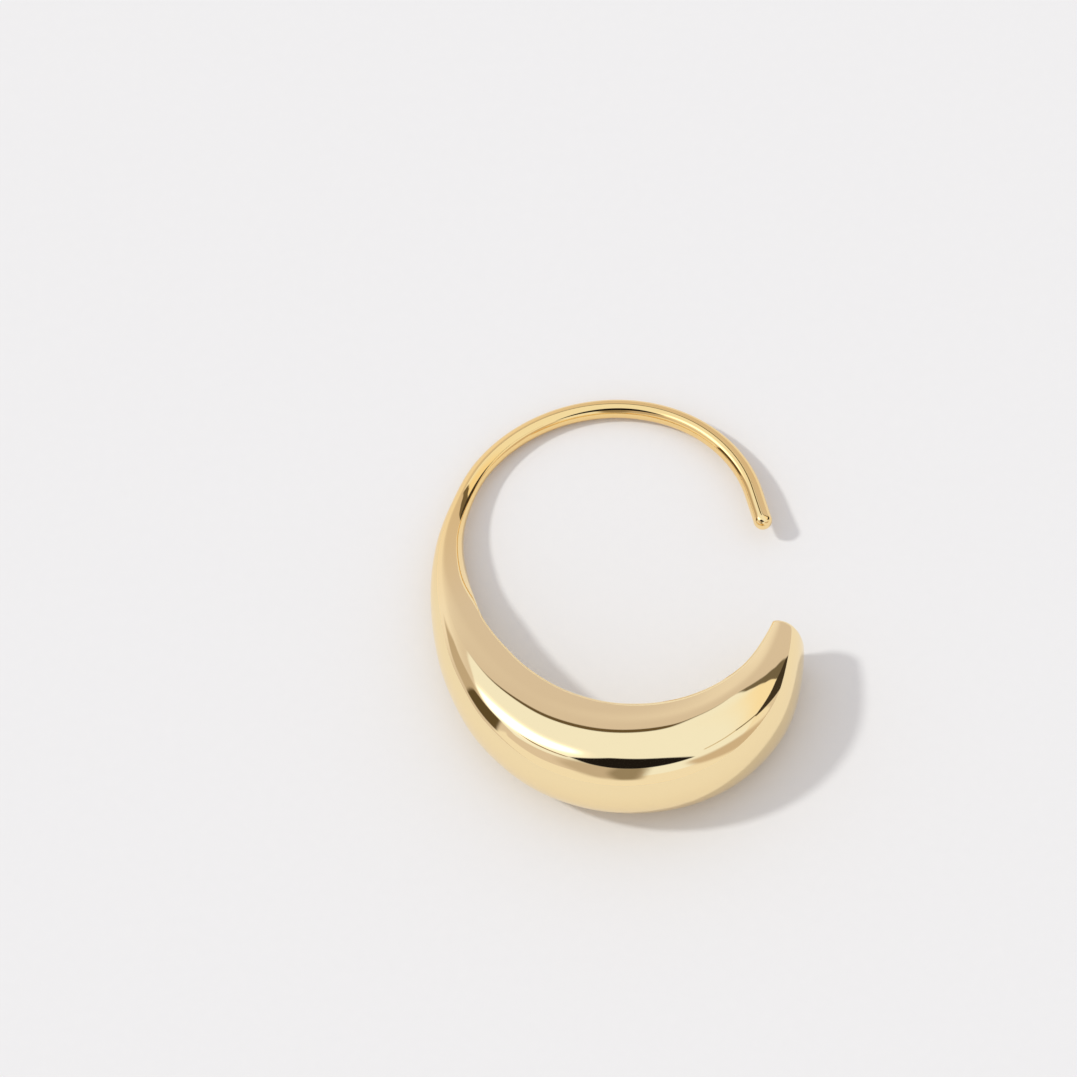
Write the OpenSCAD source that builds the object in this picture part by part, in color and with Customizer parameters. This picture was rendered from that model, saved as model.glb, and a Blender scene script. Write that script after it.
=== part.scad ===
// Drop hoop earring: a heavy crescent drop that thins into a round ear wire, all one piece of metal.
// It is drawn as it lies on a table by itself, in millimetres, with +Z up and the drop towards -Y.
// The origin is the middle of the underside of the box round it.
// A turn is an angle round the hoop's centre: 0 at the lowest point of the drop, positive towards
// the blunt end on the right, negative up the left side and over the top to the tip of the wire.

/* [Drop] */
// Greatest thickness of the drop, from its flat inner side to its outer edge
drop_t = 5.4; // [4.6:0.1:6]
// Greatest width of the drop, across the hoop
drop_w = 6.1; // [4:0.1:7.6]
// How far in the flat inner side lies, as a share of half the thickness of the uncut section
inner_flat = 0.5; // [0.45:0.05:0.8]
// The same near the blunt end
end_flat = 0.42; // [0.4:0.02:0.8]
// Turn at which the blunt end is cut
cut_turn = 67.5; // [60:0.5:68]
// Radius of the rounded edge of the blunt end
cut_edge_r = 0.3; // [0.1:0.05:0.6]
// How far out the widest line of the drop lies, as a share of half its thickness
ridge = 0.14; // [0:0.01:0.25]

/* [Ear wire] */
// Diameter of the ear wire
wire_d = 1.1; // [0.9:0.05:1.2]
// Radius that the middle of the ear wire is bent to
bend_r = 9; // [8.8:0.1:9.2]
// How far the centre of that bend lies to the left of the hoop's centre
bend_left = 1.5; // [1.2:0.1:1.8]
// How far the centre of that bend lies above the hoop's centre
bend_up = 4.2; // [4:0.1:4.5]
// Angle above the +X axis at which the bend ends
bend_end = 15; // [10:1:40]
// Length of the straight stretch before the rounded tip
straight_l = 2; // [1:0.5:3]

/* [Fineness] */
// Number of points round a section of the drop
section_points = 40; // [24:4:56]
// Turn from one section of the drop to the next
section_step = 2.5; // [2:0.5:4]

/* [Hidden] */
wire_r = wire_d / 2;
bend_centre = [-bend_left, bend_up];
// Greatest thickness of the drop's section before its inner side is cut off flat
uncut_t = 2 * drop_t / (1 + inner_flat);

// Unit vector from the hoop's centre at a turn
function spoke(turn) = [sin(turn), -cos(turn)];

// Distance from the hoop's centre to the middle of the ear wire at a turn
function wire_reach(turn) =
    let(along = spoke(turn) * bend_centre)
    along + sqrt(along * along - bend_centre * bend_centre + bend_r * bend_r);

// The drop's sections, one every 20 degrees. The reach is the distance from the hoop's centre to
// the middle of the uncut section. Thickness and width are shares: 0 is the ear wire's diameter and
// 1 the uncut section's greatest size. The first row lies beyond the cut, and the last two on the
// ear wire.
SECTIONS = [
    // turn, reach, thickness, width
    [80, 9.2, 0.04, 0.19],
    [60, 10.05, 0.345, 0.65],
    [40, 11.05, 0.66, 0.91],
    [20, 11.5, 0.895, 1.00],
    [0, 11.35, 0.995, 0.99],
    [-20, 10.85, 0.98, 0.92],
    [-40, 10.25, 0.84, 0.82],
    [-60, 9.85, 0.64, 0.67],
    [-80, 10.0, 0.41, 0.49],
    [-100, 10.85, 0.17, 0.29],
    [-120, wire_reach(-120), 0.03, 0.11],
    [-140, wire_reach(-140), 0.005, 0.005],
    [-160, wire_reach(-160), 0.00, 0.00],
];
row_step = SECTIONS[0][0] - SECTIONS[1][0];

// The drop ends a little way up the ear wire, which is let into that end
drop_end_turn = -138;
let_in = 8;

// Rises from 0 to 1 with no kink at either end
function smooth(t) = let(u = min(max(t, 0), 1)) u * u * (3 - 2 * u);

// Parabola through three rows one step apart, at t steps past the middle one
function parabola(a, b, c, t) = b + t * (c - a) / 2 + t * t * (a - 2 * b + c) / 2;

// Section at any turn: the parabolas round the rows on either side blend into each other, which
// gives a surface that passes through every row with no break in its slope or its curvature.
// Before the second row its own parabola runs on by itself.
function section_at(turn) =
    let(
        place = (SECTIONS[0][0] - turn) / row_step,
        i = max(floor(place), 1),
        t = place - i,
        blend = smooth(t)
    )
    parabola(SECTIONS[i - 1], SECTIONS[i], SECTIONS[i + 1], t) * (1 - blend)
    + parabola(SECTIONS[i], SECTIONS[i + 1], SECTIONS[i + 2], t - 1) * blend;

// The flat begins where the drop leaves the ear wire, is whole a little below the middle of the left
// side and reaches its depth near the blunt end at the last of these turns
flat_from_turn = -120;
flat_whole_turn = -70;
flat_end_turn = 60;
// Share at which the flat lies clear of the section, which is then round
round_flat = 1.3;
// Size of the soft corners beside the flat, as a share of half the thickness
corner_soft = 0.03;

// How far in the flat lies at a turn, as a share of half the thickness of the uncut section
function flat_at(turn) =
    let(
        whole = inner_flat + (end_flat - inner_flat) * smooth(turn / flat_end_turn),
        come = smooth((turn - flat_from_turn) / (flat_whole_turn - flat_from_turn))
    )
    round_flat + (whole - round_flat) * come;

// How far out a point of a section lies, as a share of half its thickness: an egg with its widest
// line a little outwards, cut off flat on its inner side
function outwards(angle, flat) =
    let(share = cos(angle) + ridge * sin(angle) ^ 2)
    -flat + corner_soft * ln(1 + exp((share + flat) / corner_soft));

// Ring of points round the drop at a turn, drawn in by inset on the rounded edge of the cut
function ring(turn, inset) =
    let(
        section = section_at(turn),
        flat = flat_at(turn),
        half_t = (wire_d + (uncut_t - wire_d) * section[2]) / 2 - inset,
        half_w = (wire_d + (drop_w - wire_d) * section[3]) / 2 - inset
    )
    [
        for (k = [0 : section_points - 1])
            let(
                angle = 360 * k / section_points,
                reach = section[1] + half_t * outwards(angle, flat)
            )
            [reach * spoke(turn)[0], reach * spoke(turn)[1], half_w * sin(angle)]
    ];

// Rings over the rounded edge of the cut, a quarter circle in even steps
edge_steps = 6;
edge_turn = cut_edge_r / section_at(cut_turn)[1] * 180 / PI;
edge_rings = [
    for (k = [0 : edge_steps - 1])
        let(angle = 90 * k / edge_steps)
        ring(cut_turn - edge_turn * (1 - cos(angle)), cut_edge_r * (1 - sin(angle)))
];

// Rings from there to the end on the ear wire
full_turn = cut_turn - edge_turn;
full_steps = ceil((full_turn - drop_end_turn) / section_step);
full_rings = [
    for (k = [0 : full_steps])
        ring(full_turn + (drop_end_turn - full_turn) * k / full_steps, 0)
];
drop_rings = concat(edge_rings, full_rings);
drop_points = [for (r = drop_rings) each r];

// Angle round the bend's centre at which the ear wire starts, inside the end of the drop
wire_start = wire_reach(drop_end_turn + let_in) * spoke(drop_end_turn + let_in) - bend_centre;
bend_start = atan2(wire_start[1], wire_start[0]);

// Lying flat, the hoop touches the table with the drop's widest line and the top of the ear wire
touch_span = bend_up + bend_r + section_at(0)[1] + ridge * uncut_t / 2;
rest_tilt = atan((drop_w - wire_d) / 2 / touch_span);
// The drop's widest line is fuller towards the blunt end, so the hoop leans a little to one side
rest_lean = 0.83;

// A point after the hoop has been laid down
function laid(p) =
    let(
        y = p[1] * cos(rest_tilt) + p[2] * sin(rest_tilt),
        z = p[2] * cos(rest_tilt) - p[1] * sin(rest_tilt)
    )
    [p[0] * cos(rest_lean) - z * sin(rest_lean), y, z * cos(rest_lean) + p[0] * sin(rest_lean)];

// Box round the hoop once it lies down: the ear wire's bend reaches furthest back, and it shares
// the underside with the drop, which sets the rest of the box
laid_points = [for (p = drop_points) laid(p)];
laid_centre = laid([bend_centre[0], bend_centre[1], 0]);
plane_y = laid([0, 1, 0])[1];
plane_rise = norm([laid([1, 0, 0])[2], laid([0, 1, 0])[2]]);
box_left = min([for (p = laid_points) p[0]]);
box_right = max([for (p = laid_points) p[0]]);
box_front = min([for (p = laid_points) p[1]]);
box_back = laid_centre[1] + bend_r * plane_y + wire_r;
drop_low = min([for (p = laid_points) p[2]]);
wire_low = laid_centre[2] - bend_r * plane_rise - wire_r;
to_origin = [-(box_left + box_right) / 2, -(box_front + box_back) / 2, -min(drop_low, wire_low)];

// The crescent drop, skinned from ring to ring with a flat face at either end
module drop() {
    n = section_points;
    rings = len(drop_rings);
    cut_face = [for (k = [0 : n - 1]) k];
    wire_face = [for (k = [n - 1 : -1 : 0]) (rings - 1) * n + k];
    skin = [
        for (i = [0 : rings - 2])
            for (k = [0 : n - 1])
                let(
                    a = i * n + k,
                    b = i * n + (k + 1) % n
                )
                each [[a, a + n, b], [b, a + n, b + n]]
    ];
    polyhedron(points = drop_points, faces = concat([cut_face, wire_face], skin), convexity = 6);
}

// The round ear wire: its bend, the straight stretch and the rounded tip
module ear_wire() {
    translate(bend_centre)
        rotate(bend_end) {
            rotate_extrude(angle = bend_start - bend_end, $fn = 180)
                translate([bend_r, 0])
                    circle(r = wire_r, $fn = 32);
            translate([bend_r, 0, 0])
                rotate([90, 0, 0]) {
                    cylinder(h = straight_l, r = wire_r, $fn = 32);
                    translate([0, 0, straight_l])
                        sphere(r = wire_r, $fn = 32);
                }
        }
}

module hoop() {
    color([0.91, 0.78, 0.54])
        translate(to_origin)
            rotate([-rest_tilt, -rest_lean, 0]) {
                drop();
                ear_wire();
            }
}

hoop();
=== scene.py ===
import math

import bmesh
import bpy
from mathutils import Matrix, Vector


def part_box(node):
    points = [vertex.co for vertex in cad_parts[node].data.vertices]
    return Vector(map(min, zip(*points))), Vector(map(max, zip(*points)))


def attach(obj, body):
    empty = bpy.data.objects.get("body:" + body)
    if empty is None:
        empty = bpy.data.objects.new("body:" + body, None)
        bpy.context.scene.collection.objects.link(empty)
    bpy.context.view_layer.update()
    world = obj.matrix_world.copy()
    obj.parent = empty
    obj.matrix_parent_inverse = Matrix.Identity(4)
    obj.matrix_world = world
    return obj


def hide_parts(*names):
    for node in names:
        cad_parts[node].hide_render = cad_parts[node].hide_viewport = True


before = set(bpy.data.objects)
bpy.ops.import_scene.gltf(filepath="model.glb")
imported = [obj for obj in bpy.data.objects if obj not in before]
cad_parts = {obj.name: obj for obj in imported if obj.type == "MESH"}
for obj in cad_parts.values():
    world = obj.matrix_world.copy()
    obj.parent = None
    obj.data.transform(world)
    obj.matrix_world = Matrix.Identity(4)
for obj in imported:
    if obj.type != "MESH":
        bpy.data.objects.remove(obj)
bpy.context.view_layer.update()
MM = 0.001

# The drop
DROP_T = 5.4
DROP_W = 6.1
CUT_TURN = 67.5
CUT_EDGE_R = 0.3
# How far out the widest line lies, as a share of half the uncut section's thickness
RIDGE = 0.14

# The drop's flat inner side: how far in it lies on most of the drop and near the blunt end, as the
# same share. At the last of the three it lies clear of the section, which is then round.
INNER_FLAT = 0.5
END_FLAT = 0.42
ROUND_FLAT = 1.3
# Turns at which the flat begins, is whole and reaches its depth near the blunt end
FLAT_FROM_TURN = -120.0
FLAT_WHOLE_TURN = -70.0
FLAT_END_TURN = 60.0
# Size of the soft corners beside the flat, and the section's thickness before it is cut off flat
CORNER_SOFT = 0.015
UNCUT_T = 2 * DROP_T / (1 + INNER_FLAT)

# The ear wire
WIRE_D = 1.1
BEND_R = 9.0
BEND_CENTRE = Vector((-1.5, 4.2))
BEND_END = 15.0
STRAIGHT_L = 2.0

# How the hoop lies: the degrees that its plane is tilted, and that it leans to one side
REST_TILT = 5.698
REST_LEAN = 0.83

# Fineness of the skin: turn from ring to ring, points round a ring, steps over a rounded edge and
# along the wire's straight end, and the angle in degrees from which a corner is drawn sharp
RING_STEP = 0.75
RING_POINTS = 144
EDGE_STEPS = 10
STRAIGHT_STEPS = 8
SHARP_ANGLE = 25.0

# Turns between which the rings go over from square to the hoop to square to the ear wire
BLEND_FROM = -108.0
BLEND_TO = -138.0


def spoke(turn):
    """Unit vector from the hoop's centre at a turn: 0 is the lowest point of the drop."""
    return Vector((math.sin(math.radians(turn)), -math.cos(math.radians(turn))))


def wire_reach(turn):
    """Distance from the hoop's centre to the middle of the ear wire at a turn."""
    along = spoke(turn).dot(BEND_CENTRE)
    return along + math.sqrt(along * along - BEND_CENTRE.length_squared + BEND_R * BEND_R)


# Sections of the drop: turn, reach, share of the thickness and share of the width
SECTIONS = [
    (80, 9.2, 0.04, 0.19),
    (60, 10.05, 0.345, 0.65),
    (40, 11.05, 0.66, 0.91),
    (20, 11.5, 0.895, 1.00),
    (0, 11.35, 0.995, 0.99),
    (-20, 10.85, 0.98, 0.92),
    (-40, 10.25, 0.84, 0.82),
    (-60, 9.85, 0.64, 0.67),
    (-80, 10.0, 0.41, 0.49),
    (-100, 10.85, 0.17, 0.29),
    (-120, wire_reach(-120), 0.03, 0.11),
    (-140, wire_reach(-140), 0.005, 0.005),
    (-160, wire_reach(-160), 0.00, 0.00),
]
ROW_STEP = SECTIONS[0][0] - SECTIONS[1][0]


def smooth(share):
    """Rises from 0 to 1 with no kink at either end."""
    share = min(max(share, 0.0), 1.0)
    return share * share * (3 - 2 * share)


def parabola(rows, t):
    """Runs through three rows one step apart, at t steps past the middle one."""
    return [b + t * (c - a) / 2 + t * t * (a - 2 * b + c) / 2 for a, b, c in zip(*rows)]


def section_at(turn):
    """Reach, thickness and width of the drop at a turn."""
    place = (SECTIONS[0][0] - turn) / ROW_STEP
    i = max(math.floor(place), 1)
    t = place - i
    before = parabola(SECTIONS[i - 1:i + 2], t)
    after = parabola(SECTIONS[i:i + 3], t - 1)
    share = smooth(t)
    row = [a * (1 - share) + b * share for a, b in zip(before, after)]
    return row[1], WIRE_D + (UNCUT_T - WIRE_D) * row[2], WIRE_D + (DROP_W - WIRE_D) * row[3]


def flat_at(turn):
    """How far in the flat inner side lies at a turn, as a share of half the thickness."""
    whole = INNER_FLAT + (END_FLAT - INNER_FLAT) * smooth(turn / FLAT_END_TURN)
    come = smooth((turn - FLAT_FROM_TURN) / (FLAT_WHOLE_TURN - FLAT_FROM_TURN))
    return ROUND_FLAT + (whole - ROUND_FLAT) * come


def outwards(angle, flat, ridge):
    """How far out a point of the section lies, as a share of half its thickness: an egg cut off flat."""
    share = math.cos(angle) + ridge * math.sin(angle) ** 2
    return -flat + CORNER_SOFT * math.log1p(math.exp((share + flat) / CORNER_SOFT))


def drop_ring(turn, inset):
    """Function that places a point of the drop's section by its angle."""
    reach, thick, wide = section_at(turn)
    flat = flat_at(turn)
    thin = smooth((turn - BLEND_FROM) / (BLEND_TO - BLEND_FROM))
    across = spoke(turn)
    middle = reach * across
    if thin > 0:
        to_bend = (middle - BEND_CENTRE).normalized()
        across = across.lerp(to_bend, thin).normalized()
    ridge = RIDGE * (1 - thin)
    half_t = (thick + (WIRE_D - thick) * thin) / 2 - inset
    half_w = (wide + (WIRE_D - wide) * thin) / 2 - inset

    def place(angle):
        out = middle + half_t * outwards(angle, flat, ridge) * across
        return Vector((out.x, out.y, half_w * math.sin(angle)))
    return place


def wire_ring(centre, across, radius):
    """Function that places a point of the round wire's section by its angle."""
    def place(angle):
        out = centre + radius * math.cos(angle) * across
        return Vector((out.x, out.y, radius * math.sin(angle)))
    return place


def hoop_rings():
    """Every ring of the hoop, from the blunt end round to the tip of the ear wire."""
    rings = []
    edge_turn = math.degrees(CUT_EDGE_R / section_at(CUT_TURN)[0])
    for k in range(EDGE_STEPS):
        angle = math.pi / 2 * k / EDGE_STEPS
        back = edge_turn * (1 - math.cos(angle))
        rings.append(drop_ring(CUT_TURN - back, CUT_EDGE_R * (1 - math.sin(angle))))
    full_turn = CUT_TURN - edge_turn
    steps = math.ceil((full_turn - BLEND_TO) / RING_STEP)
    for k in range(steps):
        rings.append(drop_ring(full_turn + (BLEND_TO - full_turn) * k / steps, 0.0))
    start = wire_reach(BLEND_TO) * spoke(BLEND_TO) - BEND_CENTRE
    bend_start = math.degrees(math.atan2(start.y, start.x))
    steps = math.ceil((bend_start - BEND_END) / RING_STEP)
    for k in range(steps + 1):
        angle = math.radians(bend_start + (BEND_END - bend_start) * k / steps)
        across = Vector((math.cos(angle), math.sin(angle)))
        rings.append(wire_ring(BEND_CENTRE + BEND_R * across, across, WIRE_D / 2))
    onward = Vector((across.y, -across.x))
    end = BEND_CENTRE + BEND_R * across
    for k in range(1, STRAIGHT_STEPS + 1):
        rings.append(wire_ring(end + STRAIGHT_L * k / STRAIGHT_STEPS * onward, across, WIRE_D / 2))
    end += STRAIGHT_L * onward
    for k in range(1, EDGE_STEPS + 1):
        angle = math.pi / 2 * k / EDGE_STEPS
        forward = WIRE_D / 2 * math.sin(angle)
        rings.append(wire_ring(end + forward * onward, across, WIRE_D / 2 * math.cos(angle)))
    return rings


def make_hoop():
    """The hoop as one closed skin, drawn out of its cut face ring after ring."""
    bm = bmesh.new()
    angle_of = bm.verts.layers.float.new("angle")
    rings = hoop_rings()
    bmesh.ops.create_circle(bm, cap_ends=True, segments=RING_POINTS, radius=1.0)
    rim = list(bm.verts)
    for v in rim:
        v[angle_of] = math.atan2(v.co.y, v.co.x)
        v.co = rings[0](v[angle_of])
    edges = list(bm.edges)
    for ring in rings[1:]:
        grown = bmesh.ops.extrude_edge_only(bm, edges=edges)["geom"]
        edges = [g for g in grown if isinstance(g, bmesh.types.BMEdge) and g.is_boundary]
        rim = [g for g in grown if isinstance(g, bmesh.types.BMVert)]
        for v in rim:
            v.co = ring(v[angle_of])
    bmesh.ops.pointmerge(bm, verts=rim, merge_co=sum((v.co for v in rim), Vector()) / len(rim))
    bmesh.ops.recalc_face_normals(bm, faces=bm.faces)
    tilt = Matrix.Rotation(math.radians(-REST_TILT), 4, "X")
    lean = Matrix.Rotation(math.radians(-REST_LEAN), 4, "Y")
    bmesh.ops.transform(bm, matrix=lean @ tilt, verts=bm.verts)
    return bm


def settle(bm, node):
    """Brings a mesh in millimetres into the box of the CAD node that it stands for, in metres. The
    smooth skin stands out a few micrometres between the facets' corners, so it is drawn in by that."""
    low, high = (Vector(corner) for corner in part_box(node))
    mesh_low = Vector([min(v.co[k] for v in bm.verts) for k in range(3)])
    mesh_high = Vector([max(v.co[k] for v in bm.verts) for k in range(3)])
    fit = min(1.0, *[(high[k] - low[k]) / (MM * (mesh_high[k] - mesh_low[k])) for k in range(3)])
    middle = (low + high) / 2 - MM * fit * (mesh_low + mesh_high) / 2
    bmesh.ops.scale(bm, vec=[MM * fit] * 3, verts=bm.verts)
    bmesh.ops.translate(bm, vec=middle, verts=bm.verts)


def linear(code):
    """Linear colour of an sRGB hex value."""
    parts = [int(code[i:i + 2], 16) / 255 for i in (0, 2, 4)]
    return [p / 12.92 if p <= 0.04045 else ((p + 0.055) / 1.055) ** 2.4 for p in parts] + [1.0]


def add(tree, kind, inputs=None, **settings):
    """Adds a node, gives it its settings, and sets or links each of its inputs."""
    node = tree.nodes.new(kind)
    for name, value in settings.items():
        setattr(node, name, value)
    for name, value in (inputs or {}).items():
        if isinstance(value, bpy.types.NodeSocket):
            tree.links.new(value, node.inputs[name])
        else:
            node.inputs[name].default_value = value
    return node


def new_material(name):
    """An empty material with the tree that its nodes go in."""
    material = bpy.data.materials.new(name)
    material.use_nodes = True
    material.node_tree.nodes.clear()
    return material, material.node_tree


# The polished plate: the size of its swellings and of its patches of haze, which are drawn coarser
# than real ones, how high the swellings stand, and the roughness of a clear and of a hazy patch
SWELL_SIZE = 4.0
HAZE_SIZE = 1.11
SWELL_HEIGHT = 0.002
ROUGHNESS = (0.025, 0.05)

# Tone of the plate on the drop, the deeper tone on the ear wire that is painted reflection, and how far
# back it begins and ends to turn
DROP_GOLD = "FDE6B4"
WIRE_PAINTED_REFLECTION_GOLD = "FCDA97"
PAINTED_REFLECTION_FROM = -1.0
PAINTED_REFLECTION_TO = 8.0


def polished_gold():
    """Gold-plated brass, mirror-polished on a mop after casting: a clear image of the room, faintly
    swollen by the uneven thickness that hand polishing leaves, and hazy in small patches. The plate
    is pale on the drop; up the ear wire a deeper tone is painted in, a painted reflection that stands in
    for the warm light the gold throws back on itself."""
    material, tree = new_material("gold-plated brass, mirror-polished")
    place = add(tree, "ShaderNodeTexCoord").outputs["Object"]
    swell = add(tree, "ShaderNodeTexNoise", {
        "Vector": place, "Scale": 1 / (SWELL_SIZE * MM), "Detail": 1.0})
    haze = add(tree, "ShaderNodeTexNoise", {
        "Vector": place, "Scale": 1 / (HAZE_SIZE * MM), "Detail": 4.0})
    rough = add(tree, "ShaderNodeMapRange", {
        "Value": haze.outputs["Fac"], "To Min": ROUGHNESS[0], "To Max": ROUGHNESS[1]})
    bump = add(tree, "ShaderNodeBump", {
        "Height": swell.outputs["Fac"], "Strength": 1.0, "Distance": SWELL_HEIGHT * MM})
    back = add(tree, "ShaderNodeSeparateXYZ", {"Vector": place}).outputs["Y"]
    painted_reflection_up_wire = add(tree, "ShaderNodeMapRange", {
        "Value": back, "From Min": PAINTED_REFLECTION_FROM * MM, "From Max": PAINTED_REFLECTION_TO * MM})
    # The deeper gold up the ear wire is painted reflection of the gold in itself, not a different plate
    plate_and_painted_reflection = add(tree, "ShaderNodeMix", {0: painted_reflection_up_wire.outputs["Result"]}, data_type="RGBA")
    plate_and_painted_reflection.inputs[6].default_value = linear(DROP_GOLD)
    plate_and_painted_reflection.inputs[7].default_value = linear(WIRE_PAINTED_REFLECTION_GOLD)
    shader = add(tree, "ShaderNodeBsdfPrincipled", {
        "Base Color": plate_and_painted_reflection.outputs[2], "Metallic": 1.0,
        "Roughness": rough.outputs["Result"], "Normal": bump.outputs["Normal"]})
    add(tree, "ShaderNodeOutputMaterial", {"Surface": shader.outputs["BSDF"]})
    return material


def add_piece(bm, name, material):
    """A smooth-shaded object made from a finished mesh, with its real corners kept sharp."""
    mesh = bpy.data.meshes.new(name)
    bm.to_mesh(mesh)
    bm.free()
    mesh.materials.append(material)
    mesh.shade_smooth()
    mesh.set_sharp_from_angle(angle=math.radians(SHARP_ANGLE))
    piece = bpy.data.objects.new(name, mesh)
    bpy.context.scene.collection.objects.link(piece)
    return piece


bm = make_hoop()
settle(bm, "hoop")
hoop = add_piece(bm, "earring_hoop", polished_gold())
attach(hoop, "root")
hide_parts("hoop")

# The table that the hoop lies on, plain matt white card: its side in metres, its two whites, and
# the size of the flecks that they make, drawn coarser than real ones so that they show
TABLE_SIDE = 3.0
TABLE_WHITES = ("EDEAE8", "EFECEA")
FLECK_SIZE = 0.667


def matt_white():
    """Matt white coated card: even and bright, with no shine."""
    material, tree = new_material("matt white coated card")
    place = add(tree, "ShaderNodeTexCoord").outputs["Object"]
    fleck = add(tree, "ShaderNodeTexNoise", {
        "Vector": place, "Scale": 1 / (FLECK_SIZE * MM), "Detail": 3.0})
    mix = add(tree, "ShaderNodeMix", {"Factor": fleck.outputs["Fac"]}, data_type="RGBA")
    mix.inputs[6].default_value = linear(TABLE_WHITES[0])
    mix.inputs[7].default_value = linear(TABLE_WHITES[1])
    shader = add(tree, "ShaderNodeBsdfDiffuse", {"Color": mix.outputs[2]})
    add(tree, "ShaderNodeOutputMaterial", {"Surface": shader.outputs["BSDF"]})
    return material


bm = bmesh.new()
bmesh.ops.create_grid(bm, x_segments=1, y_segments=1, size=TABLE_SIDE / 2)
table = add_piece(bm, "table", matt_white())

# The camera: where it stands, which way it is turned in degrees, its lens and sensor in
# millimetres, and how near and far it sees in metres
CAMERA_AT = Vector((39.513, -260.989, 468.976)) * MM
CAMERA_TURN = (29.5241, 5.1911, 0.3652)
LENS = 307.281
SENSOR_W = 36.0
NEAR = 0.01
FAR = 10.0
camera_data = bpy.data.cameras.new("camera")
camera_data.lens = LENS
camera_data.sensor_width = SENSOR_W
camera_data.clip_start = NEAR
camera_data.clip_end = FAR
camera = bpy.data.objects.new("camera", camera_data)
camera.location = CAMERA_AT
camera.rotation_euler = [math.radians(a) for a in CAMERA_TURN]
bpy.context.scene.collection.objects.link(camera)
bpy.context.scene.camera = camera

# The key light, high on the left: the way that it shines, its strength and colour, and how wide it
# looks in degrees. The metal mirrors the lamp's card in its stead.
KEY_DIRECTION = Vector((0.6583, -0.0191, -0.7525))
KEY_STRENGTH = 1.2
KEY_COLOUR = (0.965, 1.0, 0.985)
KEY_WIDTH = 6.0
key_data = bpy.data.lights.new("key", "SUN")
key_data.energy = KEY_STRENGTH
key_data.color = KEY_COLOUR
key_data.angle = math.radians(KEY_WIDTH)
key = bpy.data.objects.new("key", key_data)
key.rotation_euler = KEY_DIRECTION.to_track_quat("-Z", "Y").to_euler()
key.visible_glossy = False
bpy.context.scene.collection.objects.link(key)


def toward(azimuth, height):
    """Unit vector seen from the hoop: azimuth 0 is away from the camera and 90 to its right."""
    a, h = math.radians(azimuth), math.radians(height)
    return Vector((math.sin(a) * math.cos(h), math.cos(a) * math.cos(h), math.sin(h)))


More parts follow.
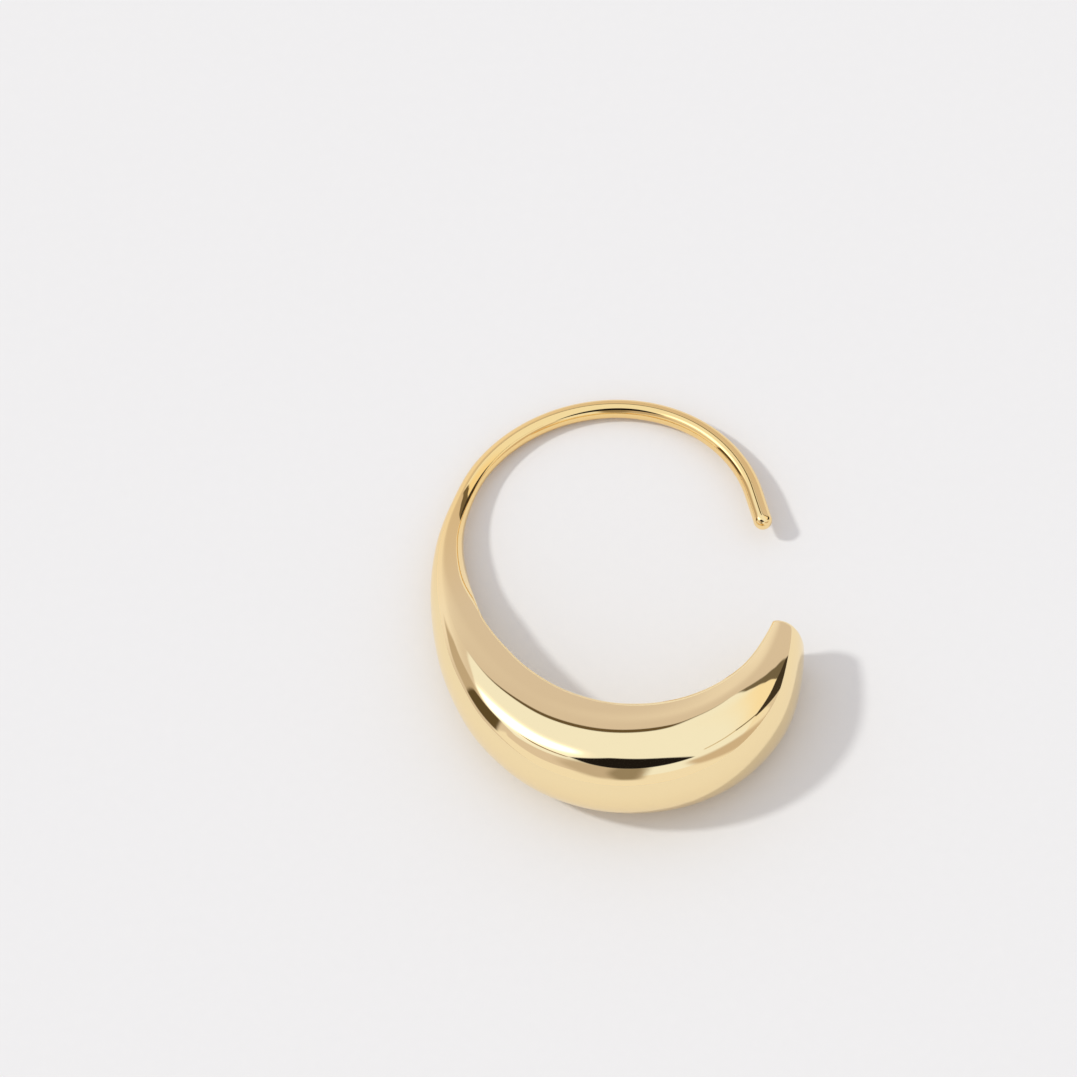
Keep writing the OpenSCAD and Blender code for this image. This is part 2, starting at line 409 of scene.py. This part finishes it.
# What stands round the table and is mirrored in the hoop, from the back to the front. A card is
# given by its corners as seen from the hoop, each an azimuth and a height in degrees, how soft its
# edge looks in degrees, and its linear colour.
AWAY_WALL = (0.69, 0.64, 0.66)
CARDS = [
    # name, corners, softness, colour
    ("front of the room", [(94, -5), (96, 80), (-98, 80), (-100, -5), (180, -8)], 3.0, (0.90, 0.88, 0.87)),
    ("softbox overhead", [(-70, 29), (-45, 36), (-17, 38), (92, 29), (120, 12), (150, 20),
                          (-150, 20), (-120, 25), (-95, 30)], 1.5, (0.92, 0.99, 1.10)),
    ("warm end of the softbox", [(20, 66), (80, 60), (118, 32), (85, 8), (50, 14), (15, 46)], 34.0,
     (0.96, 0.89, 0.74)),
    ("shadow gap", [(-34, 36), (-28, 45), (-21, 52), (-11, 55), (-7, 53.5), (-4.5, 48), (-3, 44),
                    (-3, 30), (-34, 30)], 2.0, (0.13, 0.095, 0.05)),
    ("near end of the away wall", [(-34.6, 37.2), (-20, 46.8), (-15, 48.1), (-7.5, 49.6),
                                   (-4.5, 46.5), (-2, 42), (2, 34), (0, 28), (-34, 28)],
     2.0, AWAY_WALL),
    ("frame of the away wall", [(0, 44.5), (12, 50.3), (27, 51), (49, 45.1), (65.5, 27), (72, 10),
                                (72, 0), (-2, 0)], 1.5, (0.17, 0.145, 0.11)),
    ("away wall", [(-14, 32), (-8, 42), (4, 45.3), (14.5, 46.8), (29.6, 45), (47, 33.5), (58.5, 9),
                   (60, 0), (-14, 0)], 2.0, AWAY_WALL),
    ("pale side of the room", [(-66, 27), (-38, 34), (-8, 34), (-20, -12), (-66, -12)], 22.0,
     (0.90, 0.88, 0.92)),
    ("dark stand", [(59, 8), (63, 15), (69.5, 22.5), (87, 25.5), (100, 26), (101, 22.5), (76, -4),
                    (60, -4)], 1.5, (0.05, 0.04, 0.03)),
    ("foot of the dark stand", [(98, 22.5), (98, 26), (112, 38.8), (114, 36.8)], 1.5, (0.20, 0.15, 0.09)),
    ("its cable", [(112, 38.8), (137, 46.3), (138, 44.4), (114, 36.8)], 1.5, (0.62, 0.52, 0.40)),
    ("right screen", [(84, -3), (96, 6), (103, 14), (118, 24), (135, 34), (148, 41), (156, 34),
                      (152, 20), (140, 10), (122, -3)], 9.0, (0.62, 0.53, 0.47)),
    ("glare", [(-56, 38), (-62, 48), (-78, 60), (-98, 67), (-120, 63), (-128, 52), (-105, 38),
               (-88, 31), (-72, 30), (-60, 34.5)], 12.0, (1.2, 1.22, 1.3)),
    ("lamp", [(-64, 33), (-68, 43), (-84, 57), (-104, 63), (-117, 58), (-112, 51), (-90, 34),
              (-78, 30.5)], 6.0, (2.0, 2.05, 2.3)),
    ("left screen", [(-179, 43), (-177, 15), (-150, 18), (-120, 18), (-104, 14), (-97, 25), (-93, 38),
                     (-105, 44), (-120, 46), (-150, 45)], 2.0, (0.72, 0.66, 0.66)),
    ("dark end of the left screen", [(-179, 43), (-177, 15), (-150, 16), (-128, 30), (-128, 45)], 10.0,
     (0.55, 0.49, 0.46)),
    ("fold of the left screen", [(-179, 43), (-177, 15), (-165, 15), (-157, 30), (-159, 44)], 8.0,
     (0.31, 0.27, 0.22)),
    ("rail of the left screen", [(-90, 36), (-105, 43), (-124, 49), (-124, 46), (-105, 40)], 1.5,
     (0.26, 0.19, 0.12)),
    ("camera and its stand", [(-124, 48), (-137, 65.7), (-162, 68.3), (173, 61.5), (158, 54.1),
                              (148.7, 45.1), (147.4, 37.4), (160, 40.4), (176, 40.6), (-172, 42.2),
                              (-154, 43.8), (-138, 45.2)], 2.5, (0.0125, 0.0105, 0.011)),
    ("shade beside the left stand", [(-82, 27), (-60, 28.5), (-51, 25.5), (-54, 14), (-62, 10), (-82, 6)],
     4.0, (0.53, 0.46, 0.41)),
    ("dark stand on the left", [(-72, 24), (-77.4, 28), (-85.7, 30.6), (-89.6, 31.1), (-94, 25),
                                (-98.5, 14.6), (-100.5, 7), (-79, 6)], 2.5, (0.11, 0.083, 0.045)),
]


# The bare walls, which are mirrored where no card stands
BARE_WALLS = (0.70, 0.65, 0.66)
# The same light, evened out, for all that isn't mirrored
WALL_LIGHT = (0.60, 0.60, 0.62)
OVERHEAD_LIGHT = (0.82, 0.83, 0.87)
# What the camera sees past the edge of the table
BACKDROP = "F0F0F0"


def card_mask(tree, direction, corners, soft):
    """1 inside the card and 0 outside it: the product of one soft edge for each side."""
    points = [toward(*c) for c in corners]
    centre = sum(points, Vector()).normalized()
    mask = None
    width = math.radians(soft)
    for a, b in zip(points, points[1:] + points[:1]):
        side = a.cross(b).normalized()
        if side.dot(centre) < 0:
            side.negate()
        dot = add(tree, "ShaderNodeVectorMath", {0: direction, 1: side}, operation="DOT_PRODUCT")
        edge = add(tree, "ShaderNodeMapRange", {
            "Value": dot.outputs["Value"], "From Min": -width / 2, "From Max": width / 2},
            interpolation_type="SMOOTHSTEP")
        if mask is None:
            mask = edge.outputs["Result"]
        else:
            mask = add(tree, "ShaderNodeMath", {0: mask, 1: edge.outputs["Result"]},
                       operation="MULTIPLY").outputs[0]
    return mask


def make_surroundings():
    """The studio as the hoop sees it, and a plain pale room for the camera."""
    world = bpy.data.worlds.new("studio")
    bpy.context.scene.world = world
    world.use_nodes = True
    tree = world.node_tree
    tree.nodes.clear()
    direction = add(tree, "ShaderNodeTexCoord").outputs["Generated"]
    colour = add(tree, "ShaderNodeRGB")
    colour.outputs[0].default_value = [*BARE_WALLS, 1.0]
    shade = colour.outputs[0]
    for name, corners, soft, light in CARDS:
        mask = card_mask(tree, direction, corners, soft)
        mix = add(tree, "ShaderNodeMix", {0: mask, 6: shade}, data_type="RGBA", label=name)
        mix.inputs[7].default_value = [*light, 1.0]
        shade = mix.outputs[2]
    studio = add(tree, "ShaderNodeBackground", {"Color": shade})
    height = add(tree, "ShaderNodeSeparateXYZ", {"Vector": direction}).outputs["Z"]
    rays = add(tree, "ShaderNodeLightPath")
    sky = add(tree, "ShaderNodeMix", {0: height}, data_type="RGBA")
    sky.inputs[6].default_value = [*WALL_LIGHT, 1.0]
    sky.inputs[7].default_value = [*OVERHEAD_LIGHT, 1.0]
    plain = add(tree, "ShaderNodeMix", {
        0: rays.outputs["Is Camera Ray"], 6: sky.outputs[2]}, data_type="RGBA")
    plain.inputs[7].default_value = linear(BACKDROP)
    soft = add(tree, "ShaderNodeBackground", {"Color": plain.outputs[2]})
    both = add(tree, "ShaderNodeMixShader", {
        0: rays.outputs["Is Glossy Ray"], 1: soft.outputs[0], 2: studio.outputs[0]})
    add(tree, "ShaderNodeOutputWorld", {"Surface": both.outputs[0]})


make_surroundings()
bpy.context.scene.view_settings.view_transform = "Standard"
